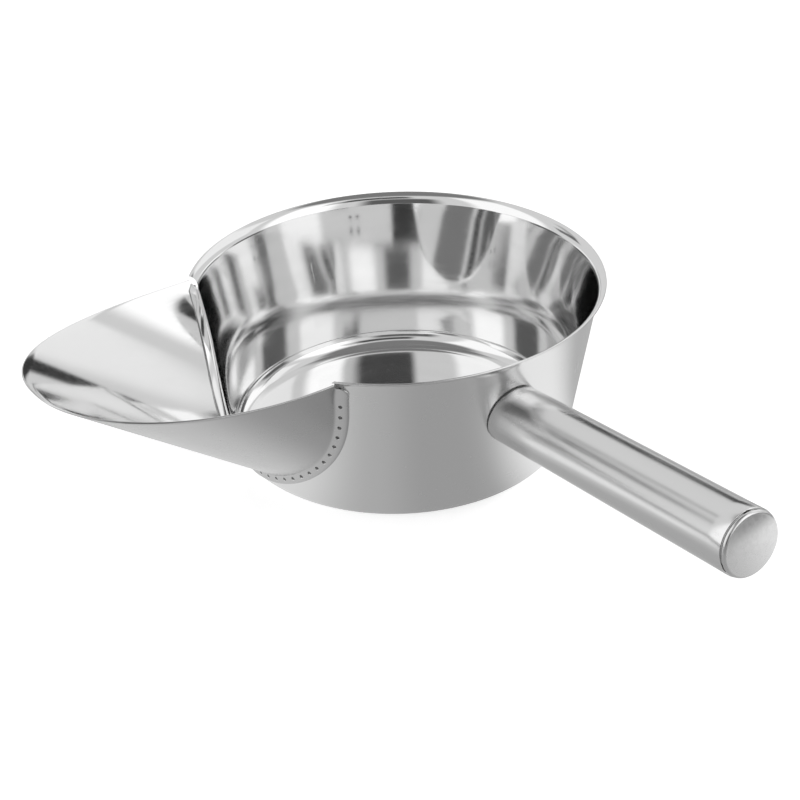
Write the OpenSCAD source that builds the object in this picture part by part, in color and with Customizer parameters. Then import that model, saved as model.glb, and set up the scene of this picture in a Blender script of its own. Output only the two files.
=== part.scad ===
// Candle melting pot: a drawn sheet pot with a wide welded pouring spout
// and a tubular side handle.
// Origin: centre of the base on the surface it stands on. +Z is up, the
// handle points along +X and the spout towards -Y. Millimetres.

/* [Pot] */
// Outside diameter of the mouth, over the turned-out rim
mouth_d = 180; // [140:1:220]
// Height of the pot from the table to the top of its rim
pot_h = 74.6; // [55:0.2:110]
// Lean of the wall from the vertical
wall_lean = 9.8; // [4:0.2:14]
// Thickness of the sheet that the pot is drawn from
pot_t = 0.8; // [0.5:0.1:1.2]
// Outside radius between the floor and the wall
corner_r = 9; // [4:0.5:12]
// How far the rim turns out beyond the wall
rim_out = 3.4; // [2:0.2:5]
// Lean of the rim from the vertical at its edge
rim_turn = 70; // [50:1:80]

/* [Spout] */
// Angle from the handle round to the spout, seen from above
spout_angle = 87; // [75:1:105]
// Distance that the spout's tip stands out from the rim
spout_reach = 76.6; // [50:0.2:100]
// Half width of the spout where its bend leaves the wall, and bend radius there
seam_r = 52.2; // [40:0.2:64]
// Extra half width of the bend line at its top corners
seam_spread = 3.2; // [1:0.2:5]
// Height of the lowest point of the bend line above the table
seam_floor = 9.8; // [8:0.2:14]
// Distance from the top of the rim down to the ends of the bend line
seam_drop = 4.6; // [4.2:0.1:8]
// Extra half width of the pouring lip beyond the ends of the bend line
lip_spread = 2; // [0.5:0.1:4]
// Distance from the top of the rim down to the ends of the pouring lip
lip_drop = 1.9; // [1:0.1:3]
// Rise of the pouring lip from its ends to its tip
lip_rise = 6.5; // [0:0.5:12]
// Roundness of the pouring lip: 2 is an ellipse, more is squarer
lip_power = 2.25; // [2:0.05:3]
// How far the rulings of the sheet fan out towards the tip
ruling_fan = 0.3; // [0:0.05:0.5]
// Thickness of the spout's sheet
spout_t = 0.8; // [0.5:0.1:1.2]
// Width of the flange that lies on the pot's wall, seen along the spout
flange_w = 4; // [3:0.2:6]
// Distance from the bend line in to the edge of the opening cut in the pot
notch_step = 1.5; // [1.2:0.1:3]
// Extra half width of the opening where it cuts through the rim
rim_notch = 3.2; // [1:0.2:6]
// Length of the pot's sheet that is turned out into the spout
collar_len = 4.5; // [2:0.5:8]
// Gap between the spout and the pot's sheet
flange_gap = 0.05; // [0.04:0.01:0.2]

/* [Spot welds] */
// Diameter of each spot weld along the flange
spot_d = 1.6; // [1.2:0.1:2.2]
// Spacing of the spot welds along the bend line
spot_pitch = 5.4; // [4:0.1:12]
// Distance from the bend line out to the spot welds
spot_offset = 1.3; // [1.1:0.05:2.2]
// Depth of the dished mark in each spot weld
spot_dish = 0.35; // [0.1:0.05:0.4]
// Gap between a spot weld and the edge of its hole
spot_gap = 0.02; // [0.01:0.01:0.05]

/* [Handle] */
// Outside diameter of the handle tube
tube_d = 25.4; // [21:0.1:32]
// Wall of the handle tube
tube_t = 1; // [0.8:0.1:1.5]
// Length of the handle tube along its axis, from the pot's wall
tube_len = 133; // [90:1:180]
// Upward tilt of the handle
handle_tilt = 7; // [0:0.5:12]
// Distance from the top of the rim down to the handle's axis at the wall
handle_drop = 28.1; // [22:0.1:32]
// How far the handle's axis passes beside the pot's axis
handle_side = 2.8; // [-6:0.2:6]
// Gap between the end of the tube and the pot's wall
root_gap = 0.6; // [0.2:0.1:1]

/* [Handle root cup] */
// Thickness of the cup that carries the tube
cup_t = 1.2; // [0.8:0.1:1.6]
// Length of the cup's skirt inside the tube
cup_len = 14; // [8:1:25]
// Diameter of each weld that holds the cup to the wall
root_spot_d = 4; // [3:0.1:4]
// Distance from the cup's skirt in to the edge of each weld
root_spot_edge = 2.2; // [1.8:0.1:2.4]
// How many welds hold the cup
root_spots = 4; // [3:1:4]

/* [Handle end cap] */
// Thickness of the cap's sheet
cap_t = 1; // [0.8:0.1:1.2]
// Height of the cap's rounded edge beyond the gap
cap_edge = 1.2; // [1:0.1:2.5]
// How much smaller than the tube the cap's radius is
cap_step = 0.3; // [0:0.1:0.6]
// Extra height of the cap's crown at its centre
cap_crown = 0.7; // [0.3:0.1:1.2]
// Gap between the end of the tube and the cap's edge
cap_gap = 0.8; // [0.4:0.1:1.2]
// Depth of the cap's skirt inside the tube
cap_skirt = 8; // [5:0.5:12]
// How many tack welds hold the cap in the gap
cap_tacks = 3; // [2:1:6]
// Length of each tack weld round the tube
tack_w = 2; // [1:0.1:3]

/* [Fits] */
// Radial clearance of what sits inside the handle tube
slide_gap = 0.05; // [0.03:0.01:0.15]
// Clearance between touching pieces that are welded
weld_gap = 0.02; // [0.01:0.01:0.05]

/* [Hidden] */
$fn = 96;

steel = [0.80, 0.81, 0.82];
dark_steel = [0.55, 0.56, 0.58];

mouth_r = mouth_d / 2;
rim_r = rim_out / (cos(wall_lean) - cos(rim_turn));  // radius that the rim turns on
rim_z = pot_h - pot_t * sin(rim_turn)
    - rim_r * (sin(rim_turn) - sin(wall_lean));  // where the wall starts to turn out
wall_top_r = mouth_r - rim_out;          // outside radius of the wall there
lean_k = tan(wall_lean);
base_r = wall_top_r - rim_z * lean_k;    // wall's outside radius drawn down to z = 0

seam_mid_z = seam_floor + seam_r;        // centre of the round part of the bend line
seam_top_z = pot_h - seam_drop;
seam_straight = seam_top_z - seam_mid_z;
seam_end = seam_straight >= 0 ? 90 : acos(-seam_straight / seam_r);
seam_arc = seam_r * seam_end * PI / 180;
seam_len = seam_arc + max(seam_straight, 0);
spread_from = 0.7 * seam_arc;            // where the bend line starts to spread

lip_z = pot_h - lip_drop;
lip_half = seam_r * sin(seam_end) + seam_spread + lip_spread;
lip_root = sqrt(pow(mouth_r, 2) - pow(lip_half, 2));
lip_tip = mouth_r + spout_reach;

spout_cuts = 60;                         // slices of the spout from side to side
spout_steps = 6;                         // points along each ruling
flange_round = 3;                        // length over which the flange's ends round off

tube_r = tube_d / 2;
bore_r = tube_r - tube_t;
cup_r = bore_r - slide_gap;
root_ring_r = cup_r - cup_t - root_spot_edge - root_spot_d / 2;
handle_z = pot_h - handle_drop;          // height of the handle's axis at the wall
handle_x = sqrt(pow(base_r + handle_z * lean_k, 2) - pow(handle_side, 2));

function smooth_end(s) = s < 0 ? 1 : sqrt(1 - pow(0.92 * min(s, 1), 2));
function along(p, q, k) = p + (q - p) * k;
function unit(p) = p / norm(p);

// Outside radius of the pot's wall at height z
function wall_r(z) = base_r + z * lean_k;

// Point on the pot's wall that is seen at (v, z) along the spout, lifted off by h
function on_wall(v, z, h) =
    let (r = wall_r(z) + h / cos(wall_lean)) [sqrt(r * r - v * v), v, z];

// The bend line and its offsets as [v, z]: w runs from -1 to 1 round the line,
// out is the distance outside it
function seam_vz(w, out) =
    let (
        s = abs(w) * seam_len,
        a = min(s / seam_r * 180 / PI, seam_end),
        up = max(s - seam_arc, 0),
        side = seam_spread * pow(max(s - spread_from, 0) / (seam_len - spread_from), 3),
        v = (seam_r + out) * sin(a) + side,
        z = seam_mid_z - (seam_r + out) * cos(a) + up
    ) [w < 0 ? -v : v, z];

// Where the sheet's outer face leaves the flange
function bend_point(w) =
    let (p = seam_vz(w, 0)) on_wall(p[0], p[1], spout_t + flange_gap);

// The outer edge of the pouring lip
function lip_point(w) =
    let (
        a = 90 * w * (1 + ruling_fan - ruling_fan * w * w),
        v = lip_half * pow(sin(abs(a)), 2 / lip_power),
        k = pow(max(cos(a), 0), 2 / lip_power)
    ) [along(lip_root, lip_tip, k), w < 0 ? -v : v, lip_z + lip_rise * k * k];

function outer_point(w, t) = along(bend_point(w), lip_point(w), t);

// Direction from the sheet's outer face to its inner face
function sheet_normal(w, t) =
    let (
        e = 0.004,
        w0 = max(w - e, -1),
        w1 = min(w + e, 1),
        across = outer_point(w1, t) - outer_point(w0, t),
        ruling = lip_point(w) - bend_point(w)
    ) unit(cross(across, -ruling));

function inner_point(w, t) = outer_point(w, t) + spout_t * sheet_normal(w, t);

// Foot of the inner face, slid back along its ruling on to the pot's wall
function inner_foot(w) =
    let (
        p = inner_point(w, 0),
        d = unit(lip_point(w) - bend_point(w)),
        r = norm([p[0], p[1]]),
        n = unit([p[0] / r, p[1] / r, -lean_k]),
        lift = (r - wall_r(p[2])) * cos(wall_lean) - flange_gap
    ) p - d * lift / (d * n);

// One slice through the flange and the sheet: outer face out, inner face back
function spout_slice(w) =
    let (
        left = (1 - abs(w)) * seam_len,
        width = flange_w * smooth_end(1 - left / flange_round),
        f = seam_vz(w, width),
        ts = [for (i = [0:spout_steps]) i / spout_steps]
    ) concat(
        [on_wall(f[0], f[1], flange_gap + spout_t)],
        [for (t = ts) outer_point(w, t)],
        [for (i = [spout_steps:-1:1]) inner_point(w, i / spout_steps)],
        [inner_foot(w), on_wall(f[0], f[1], flange_gap)]
    );

// One slice through the sheet turned out of the pot: its root lies inside the
// wall's sheet, its length lies along the spout's inner face
function collar_slice(w) =
    let (
        ruling = norm(lip_point(w) - bend_point(w)),
        reach = min(collar_len, 0.45 * ruling) / ruling,
        start = min(1.2, 0.15 * ruling) / ruling,
        n = sheet_normal(w, 0),
        skin = 0.1,
        r0 = seam_vz(w, 0.9 - notch_step),
        r1 = seam_vz(w, -0.3 - notch_step),
        r2 = seam_vz(w, -1.3 - notch_step)
    ) [
        on_wall(r0[0], r0[1], -skin),
        on_wall(r1[0], r1[1], -skin),
        outer_point(w, start) + (spout_t + flange_gap) * n,
        outer_point(w, reach) + (spout_t + flange_gap) * n,
        outer_point(w, reach) + (spout_t + flange_gap + pot_t) * n,
        outer_point(w, start) + (spout_t + flange_gap + pot_t) * n,
        on_wall(r2[0], r2[1], skin - pot_t),
        on_wall(r0[0], r0[1], skin - pot_t)
    ];

module spout_frame() {
    rotate([0, 0, -spout_angle]) children();
}

// Places children on the handle's axis, with Z outwards along the handle and
// z = 0 where the axis meets the wall
module handle_frame() {
    translate([handle_x, handle_side, handle_z]) rotate([0, 90 - handle_tilt, 0]) children();
}

// Solid cone with the pot's wall as its side, lifted off by h
module wall_cone(h) {
    lift = h / cos(wall_lean);
    cylinder(h = pot_h + 40, r1 = wall_r(0) + lift, r2 = wall_r(pot_h + 40) + lift);
}

// Ring of n points about the local Z axis, first one at angle start
module ring(n, r, start = 0) {
    for (i = [0:n - 1]) rotate([0, 0, start + i * 360 / n]) translate([r, 0, 0]) children();
}

// Half section of the pot's sheet: outside face, rim edge, inside face
module pot_section() {
    arc_c = [base_r + corner_r * lean_k - corner_r / cos(wall_lean), corner_r];
    rim_c = [wall_top_r + rim_r * cos(wall_lean), rim_z - rim_r * sin(wall_lean)];
    steps = 24;
    outside = concat(
        [[0, 0]],
        [for (i = [0:steps]) let (a = -90 + i * (90 - wall_lean) / steps)
            arc_c + corner_r * [cos(a), sin(a)]],
        [for (i = [0:steps]) let (a = 180 - wall_lean - i * (rim_turn - wall_lean) / steps)
            rim_c + rim_r * [cos(a), sin(a)]]
    );
    inside = concat(
        [for (i = [steps:-1:0]) let (a = 180 - wall_lean - i * (rim_turn - wall_lean) / steps)
            rim_c + (rim_r + pot_t) * [cos(a), sin(a)]],
        [for (i = [steps:-1:0]) let (a = -90 + i * (90 - wall_lean) / steps)
            arc_c + (corner_r - pot_t) * [cos(a), sin(a)]],
        [[0, pot_t]]
    );
    polygon(concat(outside, inside));
}

// Opening cut through the wall for the spout, seen along the spout
module notch_outline() {
    n = 40;
    side = [for (i = [0:n]) seam_vz(i / n, -notch_step)];
    rim = [side[n][0] + rim_notch, pot_h];
    polygon(concat(
        side,
        [rim, rim + [0, 1], [-rim[0], rim[1] + 1], [-rim[0], rim[1]]],
        [for (i = [n:-1:1]) [-side[i][0], side[i][1]]]
    ));
}

// Closed strip made of slices, each a ring of points in the same order
module strip(slices) {
    m = len(slices[0]);
    last = (len(slices) - 1) * m;
    skin = [for (j = [0:len(slices) - 2], i = [0:m - 1])
        let (a = j * m + i, b = j * m + (i + 1) % m)
        each [[a, b, a + m], [b, b + m, a + m]]];
    ends = [for (i = [0:m / 2 - 2])
        let (a = i, b = i + 1, c = m - 2 - i, d = m - 1 - i)
        each [
            [a, c, b], [a, d, c],
            [last + a, last + b, last + c], [last + a, last + c, last + d]
        ]];
    polyhedron(points = [for (s = slices) each s], faces = concat(skin, ends));
}

function cuts(n) = [for (j = [0:n]) 2 * j / n - 1];

module pot_body() {
    color(steel) {
        difference() {
            rotate_extrude() pot_section();
            spout_frame() translate([20, 0, 0]) rotate([90, 0, 90])
                linear_extrude(height = mouth_r) notch_outline();
            handle_frame() root_weld_ring(weld_gap);
        }
        spout_frame() strip([for (w = cuts(spout_cuts)) collar_slice(w)]);
    }
}

// Places children at each spot weld, with Z out of the pot's wall
module at_spots() {
    n = floor((seam_len - 4) / spot_pitch);
    for (i = [-n:n]) {
        f = seam_vz(i * spot_pitch / seam_len, spot_offset);
        p = on_wall(f[0], f[1], flange_gap);
        translate(p) rotate([0, 90 + wall_lean, atan2(p[1], p[0])]) children();
    }
}

module spout_sheet() {
    color(steel) spout_frame() difference() {
        strip([for (w = cuts(spout_cuts)) spout_slice(w)]);
        at_spots() translate([0, 0, -1]) cylinder(h = spout_t + 1.4, r = spot_d / 2 + spot_gap);
    }
}

module spout_spot_welds() {
    dish_r = (pow(spot_d / 2, 2) + pow(spot_dish, 2)) / (2 * spot_dish);
    color(dark_steel) spout_frame() at_spots() difference() {
        translate([0, 0, weld_gap]) cylinder(h = spout_t - weld_gap, r = spot_d / 2);
        translate([0, 0, spout_t - spot_dish + dish_r]) sphere(r = dish_r);
    }
}

module handle_tube() {
    color(steel) difference() {
        handle_frame() translate([0, 0, -tube_r]) cylinder(h = tube_len + tube_r, r = tube_r);
        handle_frame() translate([0, 0, -tube_d]) cylinder(h = tube_len + tube_d + 1, r = bore_r);
        wall_cone(root_gap);
    }
}

module handle_root_cup() {
    color(steel) difference() {
        handle_frame() translate([0, 0, -tube_r]) cylinder(h = cup_len + tube_r, r = cup_r);
        wall_cone(weld_gap);
        difference() {
            handle_frame() translate([0, 0, -tube_r])
                cylinder(h = cup_len + tube_r + 1, r = cup_r - cup_t);
            wall_cone(weld_gap + cup_t);
        }
        handle_frame() root_weld_ring(weld_gap);
    }
}

// Rods along the welds that hold the cup, fatter by gap
module root_weld_ring(gap) {
    ring(root_spots, root_ring_r, 45)
        cylinder(h = tube_d, r = root_spot_d / 2 + gap, center = true);
}

module handle_root_welds() {
    color(dark_steel) difference() {
        intersection() {
            handle_frame() root_weld_ring(0);
            wall_cone(weld_gap + cup_t);
        }
        wall_cone(-pot_t);
    }
}

// Half section of the end cap: z = 0 is the end of the tube
module cap_section() {
    skirt_r = bore_r - slide_gap;
    flat_r = tube_r - cap_step - cap_edge;
    crown_r = (flat_r * flat_r + cap_crown * cap_crown) / (2 * cap_crown);
    crown_a = asin(flat_r / crown_r);
    top = cap_gap + cap_edge;
    crown_c = top + cap_crown - crown_r;
    n = 12;
    polygon(concat(
        [[skirt_r, -cap_skirt], [skirt_r, cap_gap]],
        [for (i = [0:n]) let (a = 90 * i / n)
            [flat_r + cap_edge * cos(a), cap_gap + cap_edge * sin(a)]],
        [for (i = [n - 1:-1:0]) let (a = crown_a * i / n)
            [crown_r * sin(a), crown_c + crown_r * cos(a)]],
        [[0, top + cap_crown - cap_t], [skirt_r - cap_t, top - cap_t], [skirt_r - cap_t, -cap_skirt]]
    ));
}

module handle_end_cap() {
    color(steel) handle_frame() translate([0, 0, tube_len]) rotate_extrude() cap_section();
}

module cap_tack_welds() {
    inner = bore_r - slide_gap + weld_gap;
    h = cap_gap - 2 * weld_gap;
    color(dark_steel) handle_frame() translate([0, 0, tube_len + weld_gap]) intersection() {
        difference() {
            cylinder(h = h, r = tube_r - 0.2);
            translate([0, 0, -1]) cylinder(h = h + 2, r = inner);
        }
        ring(cap_tacks, tube_r, 180) translate([-tube_t, -tack_w / 2, -1])
            cube([2 * tube_t, tack_w, h + 2]);
    }
}

pot_body();
spout_sheet();
spout_spot_welds();
handle_tube();
handle_root_cup();
handle_root_welds();
handle_end_cap();
cap_tack_welds();
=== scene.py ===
"""Candle melting pot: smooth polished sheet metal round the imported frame.

Lengths are in metres, in the frame's own axes: the handle points along +X,
the spout towards -Y, and the pot stands on z = 0.
"""
import math

import bmesh
import bpy
import numpy as np
from mathutils import Matrix, Vector


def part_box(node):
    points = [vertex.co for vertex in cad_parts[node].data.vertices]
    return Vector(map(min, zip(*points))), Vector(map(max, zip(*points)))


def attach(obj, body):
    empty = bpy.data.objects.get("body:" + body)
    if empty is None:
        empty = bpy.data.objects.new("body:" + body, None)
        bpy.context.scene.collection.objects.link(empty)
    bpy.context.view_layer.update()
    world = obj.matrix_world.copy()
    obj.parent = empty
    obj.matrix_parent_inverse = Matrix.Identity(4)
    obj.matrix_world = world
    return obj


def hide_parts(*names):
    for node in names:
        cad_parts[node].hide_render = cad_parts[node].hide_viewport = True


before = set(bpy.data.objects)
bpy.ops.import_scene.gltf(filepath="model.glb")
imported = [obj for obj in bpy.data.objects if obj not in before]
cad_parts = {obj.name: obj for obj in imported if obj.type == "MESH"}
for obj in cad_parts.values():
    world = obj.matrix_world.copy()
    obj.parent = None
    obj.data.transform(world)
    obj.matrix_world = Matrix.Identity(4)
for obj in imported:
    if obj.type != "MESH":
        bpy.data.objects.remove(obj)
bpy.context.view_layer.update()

MM = 0.001

# ---------------------------------------------------------------- sizes
POT_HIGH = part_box("pot_body")[1]
MOUTH_R = POT_HIGH[0]                 # outside radius over the rim
POT_H = POT_HIGH[2]                   # height to the top of the rim

WALL_LEAN = math.radians(9.8)         # lean of the wall from the vertical
POT_T = 0.8 * MM                      # sheet of the pot
CORNER_R = 9 * MM                     # outside radius between floor and wall
RIM_OUT = 3.4 * MM                    # how far the rim turns out
RIM_TURN = math.radians(70)           # lean of the rim at its edge

RIM_R = RIM_OUT / (math.cos(WALL_LEAN) - math.cos(RIM_TURN))
RIM_Z = (POT_H - POT_T * math.sin(RIM_TURN)
         - RIM_R * (math.sin(RIM_TURN) - math.sin(WALL_LEAN)))
WALL_TOP_R = MOUTH_R - RIM_OUT
LEAN_K = math.tan(WALL_LEAN)
BASE_R = WALL_TOP_R - RIM_Z * LEAN_K  # wall's outside radius drawn down to z = 0

SPOUT_ANGLE = math.radians(87)        # from the handle round to the spout
SPOUT_REACH = 76.6 * MM               # from the rim out to the tip
SEAM_R = 52.2 * MM                    # radius of the bend line's round part
SEAM_SPREAD = 3.2 * MM                # how far its straight ends lean apart
SEAM_FLOOR = 9.8 * MM                 # its lowest point over the table
SEAM_DROP = 4.6 * MM                  # its ends, below the rim
LIP_SPREAD = 2.0 * MM                 # lip wider than the bend line, each side
LIP_DROP = 1.9 * MM                   # ends of the lip, below the rim
LIP_RISE = 6.5 * MM                   # tip of the lip, above its ends
LIP_POWER = 2.25                      # 2 is an ellipse, more is squarer
RULING_FAN = 0.3                      # how much the straight lines fan out
SPOUT_T = 0.8 * MM                    # sheet of the spout
FLANGE_W = 4.0 * MM                   # flange that lies on the wall
FLANGE_ROUND = 3.0 * MM               # length over which its ends round off
FLANGE_GAP = 0.05 * MM
NOTCH_STEP = 1.5 * MM                 # bend line in to the opening's edge, at the rim
RIM_NOTCH = 3.2 * MM                  # extra width cut out of the rim
COLLAR_LEN = 4.5 * MM                 # the pot's sheet turned out into the spout

SEAM_MID_Z = SEAM_FLOOR + SEAM_R
SEAM_STRAIGHT = max(POT_H - SEAM_DROP - SEAM_MID_Z, 0.0)
SEAM_END = math.pi / 2
SEAM_ARC = SEAM_R * SEAM_END
SEAM_LEN = SEAM_ARC + SEAM_STRAIGHT
SPREAD_FROM = 0.7 * SEAM_ARC
LIP_Z = POT_H - LIP_DROP
LIP_HALF = SEAM_R + SEAM_SPREAD + LIP_SPREAD
LIP_ROOT = math.sqrt(MOUTH_R ** 2 - LIP_HALF ** 2)
LIP_TIP = MOUTH_R + SPOUT_REACH

SPOT_D = 1.6 * MM                     # spot welds along the flange
SPOT_PITCH = 5.4 * MM
SPOT_OFFSET = 1.3 * MM                # out from the bend line
SPOT_DISH = 0.35 * MM

TUBE_R = 12.7 * MM
TUBE_T = 1.0 * MM
BORE_R = TUBE_R - TUBE_T
TUBE_LEN = 133.0 * MM                 # from the wall to the open end
HANDLE_TILT = math.radians(7)
HANDLE_Z = POT_H - 28.1 * MM
HANDLE_SIDE = 2.8 * MM                # beside the pot's middle
HANDLE_X = math.sqrt((BASE_R + HANDLE_Z * LEAN_K) ** 2 - HANDLE_SIDE ** 2)
ROOT_GAP = 0.6 * MM                   # between the tube and the wall

CAP_T = 1.0 * MM
CAP_EDGE = 1.2 * MM
CAP_STEP = 0.3 * MM
CAP_CROWN = 0.7 * MM
CAP_GAP = 0.8 * MM
CAP_SKIRT = 8.0 * MM                  # depth of the skirt in the tube
CAP_TACKS = 3
SLIDE_GAP = 0.05 * MM

CUP_T = 1.2 * MM
ROOT_SPOT_D = 4.0 * MM
ROOT_SPOT_EDGE = 2.2 * MM
ROOT_SPOTS = 4
ROOT_RING_R = BORE_R - SLIDE_GAP - CUP_T - ROOT_SPOT_EDGE - ROOT_SPOT_D / 2
WELD_GAP = 0.02 * MM


# ---------------------------------------------------------------- points
def along(p, q, k):
    """The point k of the way from p to q."""
    return p + (q - p) * k


def unit(p):
    """Each vector at a length of one."""
    return p / np.linalg.norm(p, axis=-1, keepdims=True)


def arc(centre, radius, start, end, steps):
    """Points of an arc in a plane, angles in radians."""
    a = np.linspace(start, end, steps + 1)
    return np.stack([centre[0] + radius * np.cos(a), centre[1] + radius * np.sin(a)], -1)


def line(p, q, steps):
    """Points between p and q, both left out."""
    k = np.arange(1, steps)[:, None] / steps
    return np.asarray(p) + (np.asarray(q) - np.asarray(p)) * k


def wall_r(z):
    """Outside radius of the pot's wall at height z."""
    return BASE_R + z * LEAN_K


def on_wall(vz, lift):
    """Points on the wall seen at (v, z) along the spout, lifted off it."""
    v, z = vz
    r = wall_r(z) + lift / math.cos(WALL_LEAN)
    return np.stack([np.sqrt(r * r - v * v), v, z], -1)


def seam(w, out):
    """The bend line between flange and spout as (v, z): w is -1 to 1 round it."""
    s = np.abs(w) * SEAM_LEN
    a = np.minimum(s / SEAM_R, SEAM_END)
    up = np.maximum(s - SEAM_ARC, 0)
    side = SEAM_SPREAD * (np.maximum(s - SPREAD_FROM, 0) / (SEAM_LEN - SPREAD_FROM)) ** 3
    v = (SEAM_R + out) * np.sin(a) + side
    z = SEAM_MID_Z - (SEAM_R + out) * np.cos(a) + up
    return np.where(w < 0, -v, v), z


def bend_point(w):
    """Outer face of the sheet where it bends out of the flange."""
    return on_wall(seam(w, 0), SPOUT_T + FLANGE_GAP)


def lip_point(w):
    """Outer face of the sheet at its lip."""
    a = math.pi / 2 * w * (1 + RULING_FAN - RULING_FAN * w * w)
    v = LIP_HALF * np.sin(np.abs(a)) ** (2 / LIP_POWER)
    k = np.maximum(np.cos(a), 0) ** (2 / LIP_POWER)
    return np.stack([LIP_ROOT + (LIP_TIP - LIP_ROOT) * k, np.where(w < 0, -v, v),
                     LIP_Z + LIP_RISE * k * k], -1)


def outer_point(w, t):
    """Outer face of the sheet, t of the way from the bend to the lip."""
    return along(bend_point(w), lip_point(w), t)


def ruling(w):
    """Direction of the sheet's straight line at w, and its length."""
    d = lip_point(w) - bend_point(w)
    length = np.linalg.norm(d, axis=-1, keepdims=True)
    return d / length, length


def sheet_normal(w, t):
    """From the sheet's outer face to its inner face."""
    e = 0.004
    across = outer_point(np.minimum(w + e, 1), t) - outer_point(np.maximum(w - e, -1), t)
    return unit(np.cross(across, bend_point(w) - lip_point(w)))


def foot(w, depth, lift):
    """Where the line that lies depth inside the outer face meets the wall."""
    d, _ = ruling(w)
    p = bend_point(w) + depth * sheet_normal(w, 0.0)
    for _ in range(3):
        r = np.hypot(p[:, 0], p[:, 1])[:, None]
        n = unit(np.concatenate([p[:, :2] / r, np.full_like(r, -LEAN_K)], -1))
        off = (r - wall_r(p[:, 2:3])) * math.cos(WALL_LEAN) - lift
        p = p - d * off / (d * n).sum(-1, keepdims=True)
    return p


def round_corner(a, corner, b, leg_a, leg_b, steps=6):
    """Points round a corner, from leg_a before it to leg_b after it."""
    p = corner + unit(a - corner) * leg_a
    q = corner + unit(b - corner) * leg_b
    k = np.linspace(0, 1, steps + 1)
    return [p * (1 - t) ** 2 + corner * 2 * t * (1 - t) + q * t * t for t in k]


def spout_turn(points):
    """From the spout's own axes to the frame's."""
    c, s = math.cos(-SPOUT_ANGLE), math.sin(-SPOUT_ANGLE)
    return points @ np.array([[c, s, 0], [-s, c, 0], [0, 0, 1]])


def handle_turn(points):
    """From the handle's own axes, Z outwards, to the frame's."""
    c, s = math.sin(HANDLE_TILT), math.cos(HANDLE_TILT)
    turned = points @ np.array([[c, 0, -s], [0, 1, 0], [s, 0, c]])
    return turned + np.array([HANDLE_X, HANDLE_SIDE, HANDLE_Z])


# ---------------------------------------------------------------- meshes
SAME_POINT = 1e-7                     # points closer than this are one


def make_piece(name, points, faces, sharp=35.0):
    """A smooth mesh piece, linked into the scene."""
    mesh = bpy.data.meshes.new(name)
    mesh.from_pydata([tuple(p) for p in points], [], faces)
    piece = bpy.data.objects.new(name, mesh)
    bpy.context.collection.objects.link(piece)
    tidy_faces(piece, sharp)
    return piece


def tidy_faces(piece, sharp):
    """Joins doubled points, turns faces outwards and shades smooth up to the angle."""
    bm = bmesh.new()
    bm.from_mesh(piece.data)
    bmesh.ops.remove_doubles(bm, verts=bm.verts, dist=SAME_POINT)
    bmesh.ops.dissolve_degenerate(bm, edges=bm.edges, dist=SAME_POINT)
    bmesh.ops.recalc_face_normals(bm, faces=bm.faces)
    bm.to_mesh(piece.data)
    bm.free()
    for polygon in piece.data.polygons:
        polygon.use_smooth = True
    piece.data.set_sharp_from_angle(angle=math.radians(sharp))


def loop_faces(rows, columns, closed_rows=False):
    """Quads of a grid whose columns close on themselves."""
    faces = []
    for j in range(rows if closed_rows else rows - 1):
        j2 = (j + 1) % rows
        for i in range(columns):
            i2 = (i + 1) % columns
            faces.append((j * columns + i, j * columns + i2, j2 * columns + i2, j2 * columns + i))
    return faces


def strip_piece(name, slices, sharp=35.0):
    """Closed strip: slices is (n, m, 3), each slice a closed ring of m points."""
    n, m, _ = slices.shape
    faces = loop_faces(n, m)
    faces.append(tuple(range(m - 1, -1, -1)))
    faces.append(tuple(range((n - 1) * m, n * m)))
    return make_piece(name, slices.reshape(-1, 3), faces, sharp)


def revolve(name, outline, segments, turn=None, sharp=35.0):
    """Turns a closed outline of (r, z) about Z; points with r = 0 become one pole."""
    a = np.arange(segments) * 2 * math.pi / segments
    rings = np.stack([np.outer(outline[:, 0], np.cos(a)), np.outer(outline[:, 0], np.sin(a)),
                      np.repeat(outline[:, 1:2], segments, 1)], -1)
    points = rings.reshape(-1, 3)
    if turn:
        points = turn(points)
    closed = outline[0, 0] > 1e-9 or outline[-1, 0] > 1e-9
    faces = loop_faces(len(outline), segments, closed_rows=closed)
    return make_piece(name, points, faces, sharp)


def join_into(piece, *others):
    """Adds the other pieces' meshes to piece and removes them."""
    bm = bmesh.new()
    bm.from_mesh(piece.data)
    for other in others:
        bm.from_mesh(other.data)
        bpy.data.objects.remove(other, do_unlink=True)
    bm.to_mesh(piece.data)
    bm.free()


def cut(piece, cutter, sharp=35.0):
    """Takes the cutter's solid out of the piece."""
    modifier = piece.modifiers.new("cut", "BOOLEAN")
    modifier.operation = "DIFFERENCE"
    modifier.solver = "EXACT"
    modifier.object = cutter
    graph = bpy.context.evaluated_depsgraph_get()
    mesh = bpy.data.meshes.new_from_object(piece.evaluated_get(graph))
    piece.modifiers.clear()
    piece.data = mesh
    bpy.data.objects.remove(cutter, do_unlink=True)
    tidy_faces(piece, sharp)


# ---------------------------------------------------------------- the pot
POT_SEGMENTS = 492


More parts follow.
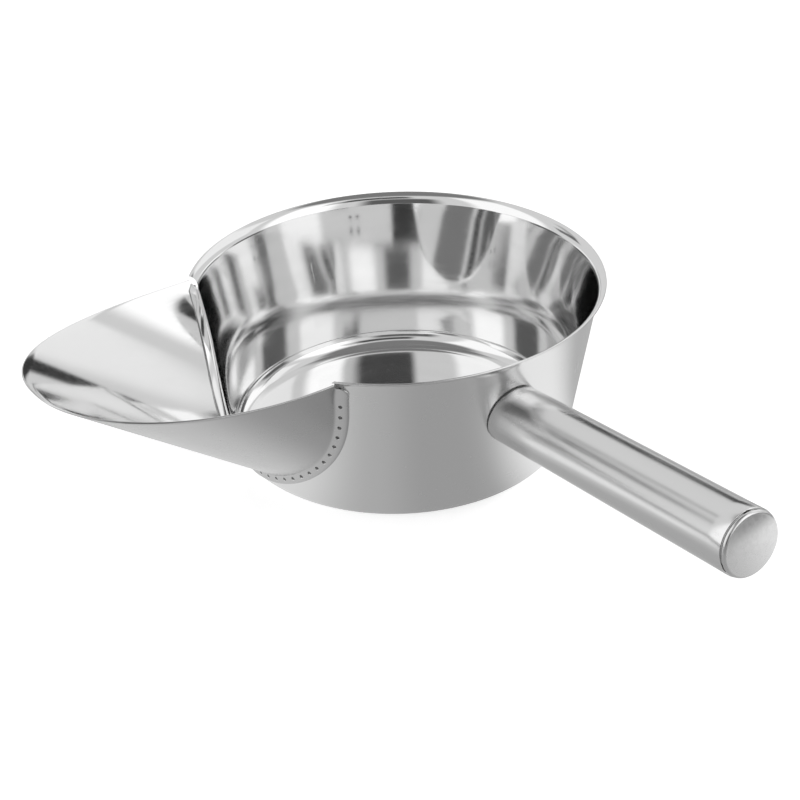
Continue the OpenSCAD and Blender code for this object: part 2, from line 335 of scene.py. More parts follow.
def pot_outline():
    """Half section of the pot's sheet, from the centre underneath to the centre inside."""
    corner = (BASE_R + CORNER_R * LEAN_K - CORNER_R / math.cos(WALL_LEAN), CORNER_R)
    rim = (WALL_TOP_R + RIM_R * math.cos(WALL_LEAN), RIM_Z - RIM_R * math.sin(WALL_LEAN))
    foot_end = math.pi / 2 - WALL_LEAN
    low, high = math.pi - WALL_LEAN, math.pi - RIM_TURN
    under = arc(corner, CORNER_R, -math.pi / 2, foot_end - math.pi / 2, 14)
    rim_out = arc(rim, RIM_R, low, high, 10)
    rim_in = arc(rim, RIM_R + POT_T, high, low, 10)
    inside = arc(corner, CORNER_R - POT_T, foot_end - math.pi / 2, -math.pi / 2, 14)
    edge_mid = (rim_out[-1] + rim_in[0]) / 2
    edge_out = unit((rim_out[-1] - rim_out[-2])[None])[0]
    half = (rim_in[0] - rim_out[-1]) / 2
    edge = [edge_mid - half * math.cos(b) + edge_out * POT_T * 0.28 * (math.sin(b) - 1)
            for b in np.linspace(0.25, math.pi - 0.25, 5)]
    centre_rows = 6
    return np.concatenate([
        [[0, 0]], line((0, 0), under[0], centre_rows), under,
        line(under[-1], rim_out[0], 12), rim_out[:-1], edge, rim_in[1:],
        line(rim_in[-1], inside[0], 12), inside,
        line(inside[-1], (0, POT_T), centre_rows), [[0, POT_T]]])


NOTCH_FROM, NOTCH_RUN = 0.86, 0.14    # parts of the bend line over which it narrows
OPENING_OUT = 0.6 * MM                # opening outside the bend line, below that


def opening_edge(w):
    """How far outside the bend line the wall is cut away: less near the rim."""
    k = np.clip((np.abs(w) - NOTCH_FROM) / NOTCH_RUN, 0, 1)
    k = k * k * (3 - 2 * k)
    return OPENING_OUT * (1 - k) - NOTCH_STEP * k


def opening_cutter():
    """Prism through the wall along the spout: its section is the opening."""
    w = np.linspace(-1, 1, 161)
    v, z = seam(w, opening_edge(w))
    rim_v = v[-1] + RIM_NOTCH
    above = POT_H + 2 * MM
    outline = list(zip(v, z)) + [(rim_v, POT_H), (rim_v, above), (-rim_v, above), (-rim_v, POT_H)]
    near, far = 20 * MM, MOUTH_R + 10 * MM
    points = [(near, v, z) for v, z in outline] + [(far, v, z) for v, z in outline]
    n = len(outline)
    faces = [(i, (i + 1) % n, n + (i + 1) % n, n + i) for i in range(n)]
    faces += [tuple(range(n - 1, -1, -1)), tuple(range(n, 2 * n))]
    return make_piece("opening_cutter", spout_turn(np.array(points)), faces)


def root_weld_cutter():
    """Rods that leave the holes of the welds behind the handle."""
    rods = []
    for i in range(ROOT_SPOTS):
        a = math.radians(45 + i * 360 / ROOT_SPOTS)
        b = np.linspace(0, 2 * math.pi, 33)[:-1]
        r = ROOT_SPOT_D / 2 + WELD_GAP
        x = ROOT_RING_R * math.cos(a) + r * np.cos(b)
        y = ROOT_RING_R * math.sin(a) + r * np.sin(b)
        ends = [np.stack([x, y, np.full_like(x, z)], -1) for z in (-TUBE_R, TUBE_R)]
        rods.append(strip_piece("rod", handle_turn(np.concatenate(ends)).reshape(2, 32, 3)))
    join_into(rods[0], *rods[1:])
    return rods[0]


def collar():
    """The edge of the pot's sheet, turned out over a bend into the spout."""
    w = np.linspace(-1, 1, 241)
    d, length = ruling(w)
    reach = np.minimum(COLLAR_LEN, 0.45 * length)
    depth = SPOUT_T + FLANGE_GAP
    n_end = sheet_normal(w, 0.0)
    start_under = on_wall(seam(w, opening_edge(w)), 0)
    start_top = on_wall(seam(w, opening_edge(w)), -POT_T)
    bend_under = foot(w, depth, 0)
    bend_top = foot(w, depth + POT_T, -POT_T)
    tip = bend_point(w) + d * reach
    tip_under = tip + n_end * depth
    tip_top = tip + n_end * (depth + POT_T)
    soft = 0.22 * MM
    leg = np.minimum(1.0 * MM, 0.45 * np.linalg.norm(tip_under - bend_under, axis=-1, keepdims=True))
    leg_top = np.minimum(1.8 * MM, 0.45 * np.linalg.norm(tip_top - bend_top, axis=-1, keepdims=True))
    ring = [start_under]
    ring += round_corner(start_under, bend_under, tip_under, leg, leg)
    ring += round_corner(bend_under, tip_under, tip_top, soft, soft, 3)
    ring += round_corner(tip_under, tip_top, bend_top, soft, soft, 3)
    ring += round_corner(tip_top, bend_top, start_top, leg_top, leg_top)
    ring += [start_top]
    return strip_piece("collar", spout_turn(np.stack(ring, 1).reshape(-1, 3)).reshape(
        len(w), len(ring), 3))


def pot():
    """The pot: turned sheet with its opening, weld holes and collar."""
    body = revolve("polished_pot", pot_outline(), POT_SEGMENTS)
    cut(body, opening_cutter())
    cut(body, root_weld_cutter())
    join_into(body, collar())
    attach(body, "root")
    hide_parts("pot_body")
    return body


# ---------------------------------------------------------------- the spout
SPOUT_COLUMNS = 400
RULING_ROWS = 34
EDGE_SOFT = 0.3 * MM


def flange_width(w):
    """Width of the flange, rounded off at its two ends."""
    left = (1 - np.abs(w)) * SEAM_LEN
    s = np.clip(1 - left / FLANGE_ROUND, 0, 1)
    return FLANGE_W * np.sqrt(1 - (0.92 * s) ** 2)


def spout_slices():
    """Rings of points round the sheet, one for each column of the spout."""
    w = np.linspace(-1, 1, SPOUT_COLUMNS + 1)
    width = flange_width(w)
    d, length = ruling(w)
    face = FLANGE_GAP + SPOUT_T
    soft = np.minimum(EDGE_SOFT, 0.3 * width)
    ring = []
    for b in np.linspace(-math.pi / 2, math.pi / 2, 7):
        out = width - soft + soft * math.cos(b)
        ring.append(on_wall(seam(w, out), FLANGE_GAP + SPOUT_T / 2 * (1 + math.sin(b))))
    leg = np.minimum(0.7 * MM, 0.4 * width)
    for k in (0.25, 0.5, 0.75):
        ring.append(on_wall(seam(w, along(width - soft, leg, k)), face))
    bend = bend_point(w)
    ring += round_corner(on_wall(seam(w, leg), face), bend, lip_point(w), leg[:, None], leg[:, None], 5)
    t0 = leg[:, None] / length
    t1 = 1 - EDGE_SOFT / length
    for k in np.arange(1, RULING_ROWS + 1) / RULING_ROWS:
        ring.append(outer_point(w, along(t0, t1, k)))
    edge = outer_point(w, t1)
    n_lip = sheet_normal(w, 1.0)
    for b in np.linspace(-math.pi / 2, math.pi / 2, 7)[1:-1]:
        ring.append(edge + n_lip * SPOUT_T / 2 * (1 + math.sin(b)) + d * EDGE_SOFT * math.cos(b))
    for k in np.arange(RULING_ROWS, 0, -1) / RULING_ROWS:
        t = along(t0, t1, k)
        ring.append(outer_point(w, t) + SPOUT_T * sheet_normal(w, t))
    ring.append(foot(w, SPOUT_T, FLANGE_GAP))
    ring.append(on_wall(seam(w, leg), FLANGE_GAP))
    return spout_turn(np.stack(ring, 1).reshape(-1, 3)).reshape(len(w), len(ring), 3)


def spot_places():
    """Centre and outward direction of each spot weld, on the wall under the flange."""
    n = math.floor((SEAM_LEN - 4 * MM) / SPOT_PITCH)
    w = np.arange(-n, n + 1) * SPOT_PITCH / SEAM_LEN
    p = on_wall(seam(w, SPOT_OFFSET), FLANGE_GAP)
    r = np.hypot(p[:, 0], p[:, 1])[:, None]
    normal = unit(np.concatenate([p[:, :2] / r, np.full_like(r, -LEAN_K)], -1))
    return spout_turn(p), spout_turn(normal)


def turned_rings(centre, normal, outline, segments):
    """Rings of an (r, h) outline about a centre, h along the normal."""
    side = unit(np.cross(normal, [0.0, 0.0, 1.0]))
    other = np.cross(normal, side)
    a = np.arange(segments) * 2 * math.pi / segments
    circle = np.outer(np.cos(a), side) + np.outer(np.sin(a), other)
    return np.stack([centre + circle * r + normal * h for r, h in outline])


def spot_cutter():
    """Flared rods that leave the dished holes of the spot welds."""
    places, normals = spot_places()
    r = SPOT_D / 2
    outline = [(r, -0.6 * MM), (r, SPOUT_T - 0.12 * MM), (r + 0.06 * MM, SPOUT_T - 0.05 * MM),
               (r + 0.14 * MM, SPOUT_T + 0.01 * MM), (r + 0.2 * MM, SPOUT_T + 0.6 * MM)]
    rods = [strip_piece("rod", turned_rings(p, n, outline, 24)) for p, n in zip(places, normals)]
    join_into(rods[0], *rods[1:])
    return rods[0]


def spout():
    """The spout: one bent sheet with its flange."""
    sheet = strip_piece("welded_spout", spout_slices())
    cut(sheet, spot_cutter())
    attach(sheet, "root")
    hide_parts("spout_sheet")
    return sheet


def spot_welds():
    """Dished nuggets that fill the holes along the flange."""
    places, normals = spot_places()
    r = SPOT_D / 2 - 0.01 * MM
    top = SPOUT_T - 0.14 * MM
    outline = [(r * math.sin(a), top - SPOT_DISH * math.cos(a) ** 1.5)
               for a in np.linspace(0.12, math.pi / 2, 7)]
    outline = [(r, 0.05 * MM)] + outline[::-1]
    parts = [strip_piece("nugget", turned_rings(p, n, outline, 24)) for p, n in zip(places, normals)]
    join_into(parts[0], *parts[1:])
    welds = parts[0]
    welds.name = "flange_weld_marks"
    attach(welds, "root")
    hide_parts("spout_spot_welds")
    return welds


# ---------------------------------------------------------------- the handle
TUBE_SEGMENTS = 192


def root_length(circle, lift):
    """Distance along the handle at which each line of a circle of points leaves the wall."""
    low, high = np.full(len(circle), -TUBE_R), np.full(len(circle), TUBE_R)
    for _ in range(40):
        mid = (low + high) / 2
        p = handle_turn(np.concatenate([circle, mid[:, None]], -1))
        clear = np.hypot(p[:, 0], p[:, 1]) > wall_r(p[:, 2]) + lift / math.cos(WALL_LEAN)
        high = np.where(clear, mid, high)
        low = np.where(clear, low, mid)
    return high


def tube():
    """Open tube whose root is shaped to the pot's wall."""
    a = np.arange(TUBE_SEGMENTS) * 2 * math.pi / TUBE_SEGMENTS
    round_one = np.stack([np.cos(a), np.sin(a)], -1)
    root_out = root_length(round_one * TUBE_R, ROOT_GAP)
    root_in = root_length(round_one * BORE_R, ROOT_GAP)
    soft = 0.25 * MM
    stations = [(TUBE_R - soft, root_out), (TUBE_R - 0.08 * MM, root_out + 0.08 * MM),
                (TUBE_R, root_out + soft)]
    stations += [(TUBE_R, along(root_out + soft, TUBE_LEN - soft, k / 20)) for k in range(1, 20)]
    stations += [(TUBE_R, TUBE_LEN - soft), (TUBE_R - 0.08 * MM, TUBE_LEN - 0.08 * MM),
                 (TUBE_R - soft, TUBE_LEN), (BORE_R + 0.1 * MM, TUBE_LEN), (BORE_R, TUBE_LEN - 0.1 * MM),
                 (BORE_R, root_in)]
    rings = [np.concatenate([round_one * r, np.broadcast_to(z, a.shape)[:, None]], -1)
             for r, z in stations]
    faces = loop_faces(len(rings), TUBE_SEGMENTS, closed_rows=True)
    piece = make_piece("handle_pipe", handle_turn(np.concatenate(rings)), faces)
    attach(piece, "root")
    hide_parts("handle_tube")
    return piece


def end_cap():
    """Pressed disc with a rounded edge and a skirt inside the tube."""
    skirt_r = BORE_R - SLIDE_GAP
    flat_r = TUBE_R - CAP_STEP - CAP_EDGE
    crown_r = (flat_r ** 2 + CAP_CROWN ** 2) / (2 * CAP_CROWN)
    crown_a = math.asin(flat_r / crown_r)
    top = CAP_GAP + CAP_EDGE
    crown_c = top + CAP_CROWN - crown_r
    crown = [(crown_r * math.sin(a), crown_c + crown_r * math.cos(a))
             for a in np.linspace(crown_a, 0, 17)[1:]]
    outline = np.concatenate([
        [[0, top + CAP_CROWN - CAP_T], [skirt_r - CAP_T, top - CAP_T], [skirt_r - CAP_T, -CAP_SKIRT],
         [skirt_r, -CAP_SKIRT], [skirt_r, CAP_GAP - 0.1 * MM], [skirt_r + 0.1 * MM, CAP_GAP]],
        arc((flat_r, CAP_GAP), CAP_EDGE, 0, math.pi / 2, 10), crown])
    outline[-1, 0] = 0
    piece = revolve("handle_disc", outline + [[0, TUBE_LEN]], TUBE_SEGMENTS, handle_turn)
    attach(piece, "root")
    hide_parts("handle_end_cap")
    return piece


def tack_beads():
    """Small lumpy beads of weld in the gap behind the disc."""
    rng = np.random.default_rng(7)
    beads = []
    for i in range(CAP_TACKS):
        middle = math.pi + i * 2 * math.pi / CAP_TACKS
        rings = []
        for k in np.linspace(-1, 1, 15):
            swell = math.sqrt(max(1 - (0.96 * k) ** 2, 0)) * (1 + 0.16 * rng.uniform(-1, 1))
            b = np.arange(16) * 2 * math.pi / 16
            r = TUBE_R - 0.55 * MM + 0.42 * MM * swell * np.cos(b)
            h = TUBE_LEN + CAP_GAP / 2 + 0.5 * MM * swell * np.sin(b)
            a = middle + k * 1.15 * MM / TUBE_R
            rings.append(np.stack([r * math.cos(a), r * math.sin(a), h], -1))
        points = handle_turn(np.concatenate(rings)).reshape(len(rings), 16, 3)
        beads.append(strip_piece("bead", points, 60))
    join_into(beads[0], *beads[1:])
    beads[0].name = "disc_tack_beads"
    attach(beads[0], "root")
    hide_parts("cap_tack_welds")
    return beads[0]


# ---------------------------------------------------------------- materials
def grey(value):
    """An opaque neutral colour."""
    return (value, value, value, 1)


class Graph:
    """Short hands for a node tree."""

    def __init__(self, tree):
        self.tree = tree

    def add(self, kind, values=None, **settings):
        """A node with its settings and its unlinked or linked inputs."""
        node = self.tree.nodes.new(kind)
        for key, value in settings.items():
            setattr(node, key, value)
        for key, value in (values or {}).items():
            self.feed(node.inputs[key], value)
        return node

    def feed(self, socket, value):
        """Links an output to a socket, or sets a plain value on it."""
        if isinstance(value, bpy.types.NodeSocket):
            self.tree.links.new(value, socket)
        else:
            socket.default_value = value

    def math(self, operation, a, b=0.0):
        """Result of one sum on two values."""
        return self.add("ShaderNodeMath", {0: a, 1: b}, operation=operation).outputs[0]

    def noise(self, vector, scale, detail=3.0, roughness=0.5, distortion=0.0):
        """Cloudy value from 0 to 1."""
        node = self.add("ShaderNodeTexNoise", {
            "Vector": vector, "Scale": scale, "Detail": detail,
            "Roughness": roughness, "Distortion": distortion})
        return node.outputs[0]

    def ramp(self, value, low, high, from_value=0.0, to_value=1.0):
        """Smooth step of a value from one level to another."""
        node = self.add("ShaderNodeMapRange", {
            "Value": value, "From Min": low, "From Max": high,
            "To Min": from_value, "To Max": to_value}, interpolation_type="SMOOTHSTEP")
        return node.outputs[0]

    def blend(self, factor, first, second):
        """A colour between two colours."""
        node = self.add("ShaderNodeMix", data_type="RGBA")
        for socket, value in ((node.inputs["Factor"], factor), (node.inputs[6], first),
                              (node.inputs[7], second)):
            self.feed(socket, value)
        return node.outputs[2]

    def stretch(self, vector, scale):
        """Coordinates scaled along each axis."""
        node = self.add("ShaderNodeMapping", {"Vector": vector, "Scale": scale})
        return node.outputs[0]


def new_group(name, inputs, outputs):
    """An empty shader node group: returns its graph, its inputs and its output node."""
    tree = bpy.data.node_groups.new(name, "ShaderNodeTree")
    for label, kind, value in inputs:
        socket = tree.interface.new_socket(label, in_out="INPUT", socket_type=kind)
        if value is not None:
            socket.default_value = value
    for label, kind in outputs:
        tree.interface.new_socket(label, in_out="OUTPUT", socket_type=kind)
    source = tree.nodes.new("NodeGroupInput")
    sink = tree.nodes.new("NodeGroupOutput")
    return Graph(tree), source.outputs, sink


# how much each kind of wear adds to the steel
SMEAR_ROUGH, SCRATCH_ROUGH, SCRATCH_DEPTH = 0.05, 0.18, 0.8
EDGE_SHARE, RUBBED = 0.5, grey(0.95)
FLOAT, VECTOR = "NodeSocketFloat", "NodeSocketVector"


def polish_lines_group():
    """Fine parallel polishing lines: long in one direction, close together across it."""
    g, given, sink = new_group(
        "polish_lines",
        [("Vector", VECTOR, None), ("Fineness", FLOAT, 1.0)],
        [("Lines", FLOAT), ("Patches", FLOAT)])
    scaled = g.add("ShaderNodeVectorMath", {0: given["Vector"], 3: given["Fineness"]}, operation="SCALE")
    fine = g.noise(scaled.outputs[0], 1.0, 4.0, 0.62)
    patches = g.noise(g.stretch(scaled.outputs[0], (0.06, 0.06, 0.06)), 1.0, 2.0, 0.5)
    g.feed(sink.inputs["Lines"], fine)
    g.feed(sink.inputs["Patches"], g.ramp(patches, 0.35, 0.68))
    return g.tree


def handling_marks_group():
    """Rare short scratches and faint smears left by handling."""
    g, given, sink = new_group(
        "handling_marks",
        [("Vector", VECTOR, None), ("Amount", FLOAT, 0.5)],
        [("Scratches", FLOAT), ("Smears", FLOAT)])
    bent = g.noise(given["Vector"], 40.0, 2.0)
    turned = g.add("ShaderNodeVectorRotate", {
        "Vector": given["Vector"], "Axis": (0.3, 0.5, 0.8), "Angle": 0.9})
    thin = g.noise(g.stretch(turned.outputs[0], (900.0, 60.0, 500.0)), 1.0, 1.0)
    cross = g.noise(g.stretch(given["Vector"], (70.0, 800.0, 90.0)), 1.0, 1.0)
    first = g.math("MULTIPLY", g.ramp(thin, 0.71, 0.76), g.ramp(bent, 0.48, 0.6))
    second = g.math("MULTIPLY", g.ramp(cross, 0.72, 0.77), g.ramp(bent, 0.52, 0.4))
    both = g.math("MAXIMUM", first, second)
    g.feed(sink.inputs["Scratches"], g.math("MULTIPLY", both, given["Amount"]))
    cloudy = g.noise(given["Vector"], 28.0, 5.0, 0.55, 0.6)
    g.feed(sink.inputs["Smears"], g.math("MULTIPLY", g.ramp(cloudy, 0.45, 0.75), given["Amount"]))
    return g.tree


def worn_edge_group():
    """Mask that is 1 along edges rubbed bright and 0 on flat faces."""
    g, given, sink = new_group(
        "worn_edge", [("Width", FLOAT, 0.0006), ("Vector", VECTOR, None)], [("Edge", FLOAT)])
    bevel = g.add("ShaderNodeBevel", {"Radius": given["Width"]})
    bevel.samples = 4
    plain = g.add("ShaderNodeNewGeometry")
    same = g.add("ShaderNodeVectorMath", {0: bevel.outputs[0], 1: plain.outputs["Normal"]},
                 operation="DOT_PRODUCT")
    broken = g.ramp(g.noise(given["Vector"], 260.0, 3.0), 0.3, 0.6, 0.4, 1.0)
    edge = g.ramp(same.outputs["Value"], 0.995, 0.85)
    g.feed(sink.inputs["Edge"], g.math("MULTIPLY", edge, broken))
    return g.tree


def side_group():
    """Mask that is 1 on faces turned towards a middle point or line, 0 on the others."""
    g, given, sink = new_group("side_facing", [("Towards", VECTOR, None)], [("Inside", FLOAT)])
    plain = g.add("ShaderNodeNewGeometry")
    facing = g.add("ShaderNodeVectorMath", {0: plain.outputs["Normal"], 1: given["Towards"]},
                   operation="DOT_PRODUCT")
    g.feed(sink.inputs["Inside"], g.ramp(facing.outputs["Value"], -0.0008, 0.0008))
    return g.tree


POLISH = polish_lines_group()
SIDES = side_group()
MARKS = handling_marks_group()
EDGES = worn_edge_group()


def start_material(name, metallic=1.0):
    """A new material with its Principled shader and the object's own coordinates."""
    material = bpy.data.materials.new(name)
    material.use_nodes = True
    g = Graph(material.node_tree)
    shader = material.node_tree.nodes["Principled BSDF"]
    shader.inputs["Metallic"].default_value = metallic
    place = g.add("ShaderNodeTexCoord").outputs["Object"]
    return material, g, shader, place


def steel(name, colour, shade, lines_scale, lines_depth, roughness, patches, marks,
          grain=None, towards=None, shade_and_satin=(1.0, 0.0)):
    """Sheet steel: polishing lines, cloudy gloss, handling marks and bright edges.

    Where towards is given, faces turned away from that middle get painted shade
    and a rougher finish: their colour is multiplied by the first value as painted
    shade, and the second adds to the roughness.
    """
    material, g, shader, place = start_material(name)
    lines = g.add("ShaderNodeGroup", node_tree=POLISH)
    g.feed(lines.inputs["Vector"], g.stretch(grain(g, place) if grain else place, lines_scale))
    wear = g.add("ShaderNodeGroup", node_tree=MARKS)
    g.feed(wear.inputs["Vector"], place)
    g.feed(wear.inputs["Amount"], marks)
    edge = g.add("ShaderNodeGroup", node_tree=EDGES)
    g.feed(edge.inputs["Vector"], place)
    tone = g.blend(g.math("MULTIPLY", lines.outputs["Patches"], 0.5), colour, shade)
    rough = g.ramp(lines.outputs["Lines"], 0.3, 0.7, roughness[0], roughness[1])
    rough = g.math("ADD", rough, g.math("MULTIPLY", lines.outputs["Patches"], patches))
    rough = g.math("ADD", rough, g.math("MULTIPLY", wear.outputs["Smears"], SMEAR_ROUGH))
    rough = g.math("ADD", rough, g.math("MULTIPLY", wear.outputs["Scratches"], SCRATCH_ROUGH))
    if towards:
        side = g.add("ShaderNodeGroup", node_tree=SIDES)
        g.feed(side.inputs["Towards"], towards(g, place))
        away = g.math("SUBTRACT", 1.0, side.outputs["Inside"])
        # painted shade: faces turned away from the middle are given a darker colour
        painted_away_shade = tuple(c * shade_and_satin[0] for c in shade[:3]) + (1,)
        tone = g.blend(away, tone, painted_away_shade)
        rough = g.math("ADD", rough, g.math("MULTIPLY", away, shade_and_satin[1]))
    bright = g.blend(g.math("MULTIPLY", edge.outputs["Edge"], EDGE_SHARE), tone, RUBBED)
    g.feed(shader.inputs["Base Color"], bright)
    g.feed(shader.inputs["Roughness"], rough)
    dug = g.math("MULTIPLY", wear.outputs["Scratches"], SCRATCH_DEPTH)
    height = g.math("SUBTRACT", lines.outputs["Lines"], dug)
    bump = g.add("ShaderNodeBump", {"Strength": 1.0, "Distance": lines_depth, "Height": height})
    g.feed(shader.inputs["Normal"], bump.outputs[0])
    return material


def to_pot_middle(g, place):
    """From a point to a middle above the pot, so the top of the rim counts as inside."""
    return g.add("ShaderNodeVectorMath", {0: (0.0, 0.0, 2.0 * POT_H), 1: place},
                 operation="SUBTRACT").outputs[0]


CHANNEL_LIFT = 12 * MM                # middle line of the spout, over the rim


def to_spout_middle(g, place):
    """From a point straight to the line along the middle of the spout's channel."""
    middle = (0.0, 0.0, POT_H + CHANNEL_LIFT)
    line_way = (math.cos(SPOUT_ANGLE), -math.sin(SPOUT_ANGLE), 0.0)
    gap = g.add("ShaderNodeVectorMath", {0: middle, 1: place}, operation="SUBTRACT").outputs[0]
    share = g.add("ShaderNodeVectorMath", {0: gap, 1: line_way},
                  operation="DOT_PRODUCT").outputs["Value"]
    run = g.add("ShaderNodeVectorMath", {0: line_way, 3: share}, operation="SCALE").outputs[0]
    return g.add("ShaderNodeVectorMath", {0: gap, 1: run}, operation="SUBTRACT").outputs[0]


def round_the_pot(g, place):
    """Coordinates that run round the pot's axis, so that lines follow its rings."""
    parts = g.add("ShaderNodeSeparateXYZ", {0: place})
    x, y, z = parts.outputs
    r = g.math("SQRT", g.math("ADD", g.math("MULTIPLY", x, x), g.math("MULTIPLY", y, y)))
    turn = g.math("MULTIPLY", g.math("ARCTAN2", y, x), 0.08)
    return g.add("ShaderNodeCombineXYZ", {0: r, 1: turn, 2: z}).outputs[0]


def along_the_handle(g, place):
    """Coordinates with X along the handle."""
    turned = g.add("ShaderNodeVectorRotate", {
        "Vector": place, "Center": (HANDLE_X, HANDLE_SIDE, HANDLE_Z),
        "Axis": (0.0, 1.0, 0.0), "Angle": HANDLE_TILT})
    return turned.outputs[0]


def pot_steel():
    # painted shade: the last pair darkens the outside and underside of the pot to 0.88 of the shade
    # colour, and adds 0.16 roughness there
    return steel("spun_pot_steel", grey(0.93), grey(0.88),
                 (1500.0, 90.0, 1500.0), 1.2e-6, (0.045, 0.08), 0.02, 0.5,
                 round_the_pot, to_pot_middle, (0.88, 0.16))


def spout_steel():
    # painted shade: the last pair darkens the outside of the spout to 0.64 of the shade colour, and adds
    # 0.14 roughness there
    return steel("rolled_spout_steel", grey(0.90), grey(0.85),
                 (900.0, 60.0, 900.0), 1.6e-6, (0.06, 0.11), 0.03, 0.5,
                 None, to_spout_middle, (0.64, 0.14))


def tube_steel():
    return steel("drawn_tube_steel", grey(0.92), grey(0.84),
                 (35.0, 1100.0, 1100.0), 1.8e-6, (0.15, 0.23), 0.03, 0.7, along_the_handle)


def cap_steel():
    return steel("pressed_disc_steel", grey(0.84), grey(0.70),
                 (500.0, 500.0, 500.0), 4.0e-6, (0.14, 0.24), 0.06, 0.8, along_the_handle)


def cup_steel():
    return steel("hidden_cup_steel", grey(0.6), grey(0.45),
                 (700.0, 700.0, 700.0), 4.0e-6, (0.3, 0.45), 0.1, 0.3)


def weld_metal(name, dark, light, rough):
    """Dull oxidised weld metal with small pores."""
    material, g, shader, place = start_material(name, 0.9)
    mottle = g.noise(place, 1400.0, 4.0, 0.6)
    g.feed(shader.inputs["Base Color"], g.blend(g.ramp(mottle, 0.35, 0.7), dark, light))
    g.feed(shader.inputs["Roughness"], g.ramp(mottle, 0.3, 0.7, rough[0], rough[1]))
    pores = g.noise(place, 3000.0, 2.0)
    bump = g.add("ShaderNodeBump", {"Strength": 0.6, "Distance": 0.00004, "Height": pores})
    g.feed(shader.inputs["Normal"], bump.outputs[0])
    return material


def spot_weld_metal():
    return weld_metal("spot_weld_metal", grey(0.10), grey(0.34), (0.3, 0.5))


def tack_weld_metal():
    return weld_metal("tack_weld_metal", grey(0.05), (0.28, 0.27, 0.26, 1), (0.35, 0.6))


def paint(piece, material):
    piece.data.materials.clear()
    piece.data.materials.append(material)


# ---------------------------------------------------------------- stage
CAMERA_PLACE = (0.51214, -0.31082, 0.37786)
CAMERA_TURN = math.radians(58.75)     # round the pot, from looking along +Y
CAMERA_DOWN = math.radians(31.36)
CAMERA_ROLL = math.radians(2.27)
CAMERA_LENS = 70.38                   # millimetres on a 36 mm sensor


def camera():
    """The camera looks down at the pot over its handle."""
    right = Vector((math.cos(CAMERA_TURN), math.sin(CAMERA_TURN), 0))
    forward = Vector((-math.sin(CAMERA_TURN) * math.cos(CAMERA_DOWN),
                      math.cos(CAMERA_TURN) * math.cos(CAMERA_DOWN), -math.sin(CAMERA_DOWN)))
    down = forward.cross(right)
    x = right * math.cos(CAMERA_ROLL) + down * math.sin(CAMERA_ROLL)
    y = right * math.sin(CAMERA_ROLL) - down * math.cos(CAMERA_ROLL)
    data = bpy.data.cameras.new("camera")
    data.sensor_width = 36.0
    data.lens = CAMERA_LENS
    data.clip_start = 0.01
    seer = bpy.data.objects.new("camera", data)
    bpy.context.collection.objects.link(seer)
    seer.matrix_world = Matrix((
        (x.x, y.x, -forward.x, CAMERA_PLACE[0]),
        (x.y, y.y, -forward.y, CAMERA_PLACE[1]),
        (x.z, y.z, -forward.z, CAMERA_PLACE[2]),
        (0, 0, 0, 1)))
    bpy.context.scene.camera = seer


# How bright the metal sees the room and the floor.  Pools are light or shade on
# the floor: middle in degrees round from +X, half width and brightness.
ROOM_TONE = 0.66
FLOOR_TONE = 0.50
FLOOR_FAR = 0.30
FLOOR_FAR_RUN = (0.34, 0.42)          # metres from the pot over which it falls off
FLOOR_R = 3.0
FLOOR_GLOW = 0.62                     # the floor's own light, as the camera sees it
FLOOR_POOLS = [(-86, 34, 0.34), (34, 26, 0.50), (-15, 22, -0.10)]
# Soft boxes of the studio: middle in degrees round from +X, middle in degrees
# up, half width, half height, softness and brightness.  Negative ones are dark
# cards and the dark parts of the room.
SOFT_BOXES = [
    (-104, 18, 24, 44, 10, 0.38),     # tall lamp on the left
    (26, 30, 22, 30, 12, 0.50),       # tall lamp on the right
    (92, 34, 30, 15, 6, 0.24),        # wide lamp behind
    (-36, 8, 22, 30, 12, -0.55),      # behind the camera
    (-14, 50, 30, 7, 8, -0.60),       # dark strip over the camera
    (135, 16, 15, 8, 4, -0.62),       # dark card behind the pot
    (-151, 23, 10, 5, 4, -0.50),      # two small dark cards on the left
    (-159, 34, 5, 7, 4, -0.25),
    (0, 90, 180, 25, 8, -0.46),       # ceiling
]


def degrees_round(g, x, y):
    """Direction of a point round the pot, in degrees from +X."""
    return g.math("MULTIPLY", g.math("ARCTAN2", y, x), 180 / math.pi)


def turned_off(g, azimuth, middle):
    """How many degrees a direction is off the middle of a lamp, either way round."""
    node = g.add("ShaderNodeMath", {0: g.math("SUBTRACT", azimuth, middle), 1: 180.0, 2: -180.0},
                 operation="WRAP")
    return g.math("ABSOLUTE", node.outputs[0])


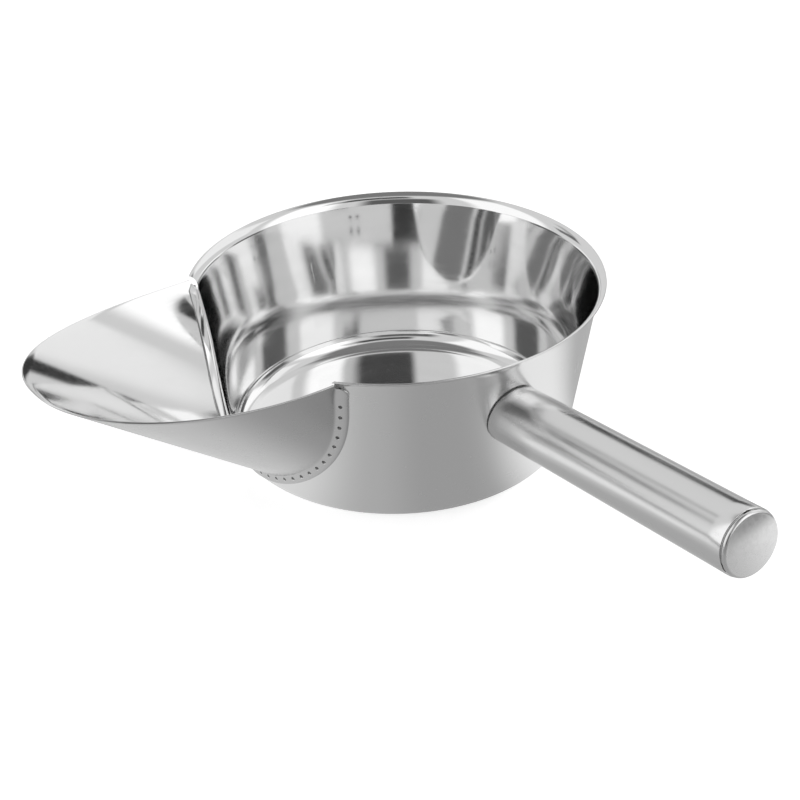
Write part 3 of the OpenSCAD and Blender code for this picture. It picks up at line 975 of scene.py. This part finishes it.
def floor():
    """Plain pale floor."""
    bm = bmesh.new()
    bmesh.ops.create_circle(bm, cap_ends=True, segments=96, radius=FLOOR_R)
    mesh = bpy.data.meshes.new("floor")
    bm.to_mesh(mesh)
    bm.free()
    plane = bpy.data.objects.new("floor", mesh)
    bpy.context.collection.objects.link(plane)
    material = bpy.data.materials.new("pale_floor")
    material.use_nodes = True
    g = Graph(material.node_tree)
    material.node_tree.nodes.clear()
    paper = g.add("ShaderNodeBsdfDiffuse", {"Color": grey(0.9)})
    glow = g.add("ShaderNodeEmission", {"Color": grey(1), "Strength": FLOOR_GLOW})
    lit = g.add("ShaderNodeAddShader", {0: paper.outputs[0], 1: glow.outputs[0]})
    x, y, _ = g.add("ShaderNodeSeparateXYZ", {0: g.add("ShaderNodeTexCoord").outputs["Object"]}).outputs
    azimuth = degrees_round(g, x, y)
    total = FLOOR_TONE
    for turn, half, power in FLOOR_POOLS:
        pool = g.ramp(turned_off(g, azimuth, turn), half * 0.3, half * 1.3, power, 0.0)
        total = g.math("ADD", total, pool)
    away = g.math("SQRT", g.math("ADD", g.math("MULTIPLY", x, x), g.math("MULTIPLY", y, y)))
    far = g.ramp(away, *FLOOR_FAR_RUN)
    total = g.math("ADD", g.math("MULTIPLY", total, g.math("SUBTRACT", 1.0, far)),
                   g.math("MULTIPLY", far, FLOOR_FAR))
    tone = g.add("ShaderNodeEmission", {"Color": grey(1), "Strength": total})
    seen = g.add("ShaderNodeLightPath").outputs["Is Camera Ray"]
    mix = g.add("ShaderNodeMixShader", {0: seen, 1: tone.outputs[0], 2: lit.outputs[0]})
    g.add("ShaderNodeOutputMaterial", {0: mix.outputs[0]})
    plane.data.materials.append(material)


def studio():
    """Even white room with soft boxes and dark cards, seen by the metal only."""
    world = bpy.data.worlds.new("studio")
    bpy.context.scene.world = world
    world.use_nodes = True
    g = Graph(world.node_tree)
    world.node_tree.nodes.clear()
    out = g.add("ShaderNodeOutputWorld")
    way = g.add("ShaderNodeSeparateXYZ", {0: g.add("ShaderNodeTexCoord").outputs["Generated"]})
    x, y, z = way.outputs
    azimuth = degrees_round(g, x, y)
    height = g.math("MULTIPLY", g.math("ARCSINE", z), 180 / math.pi)
    total = ROOM_TONE
    for turn, up, half_turn, half_up, soft, power in SOFT_BOXES:
        off = turned_off(g, azimuth, turn)
        wide = g.ramp(off, half_turn - soft / 2, half_turn + soft / 2, 1.0, 0.0)
        rise = g.math("ABSOLUTE", g.math("SUBTRACT", height, up))
        tall = g.ramp(rise, half_up - soft / 2, half_up + soft / 2, 1.0, 0.0)
        box = g.math("MULTIPLY", g.math("MULTIPLY", wide, tall), power)
        total = g.math("ADD", total, box)
    total = g.math("MAXIMUM", total, 0.0)
    room = g.add("ShaderNodeBackground", {"Color": grey(1), "Strength": total})
    paper = g.add("ShaderNodeBackground", {"Color": grey(1), "Strength": 1.0})
    seen = g.add("ShaderNodeLightPath").outputs["Is Camera Ray"]
    mix = g.add("ShaderNodeMixShader", {0: seen, 1: room.outputs[0], 2: paper.outputs[0]})
    g.feed(out.inputs[0], mix.outputs[0])
    bpy.context.scene.view_settings.view_transform = "Standard"


# ---------------------------------------------------------------- all of it
camera()
paint(pot(), pot_steel())
paint(spout(), spout_steel())
spot_metal = spot_weld_metal()
paint(spot_welds(), spot_metal)
paint(tube(), tube_steel())
paint(end_cap(), cap_steel())
paint(tack_beads(), tack_weld_metal())
paint(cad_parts["handle_root_cup"], cup_steel())
paint(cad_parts["handle_root_welds"], spot_metal)
floor()
studio()
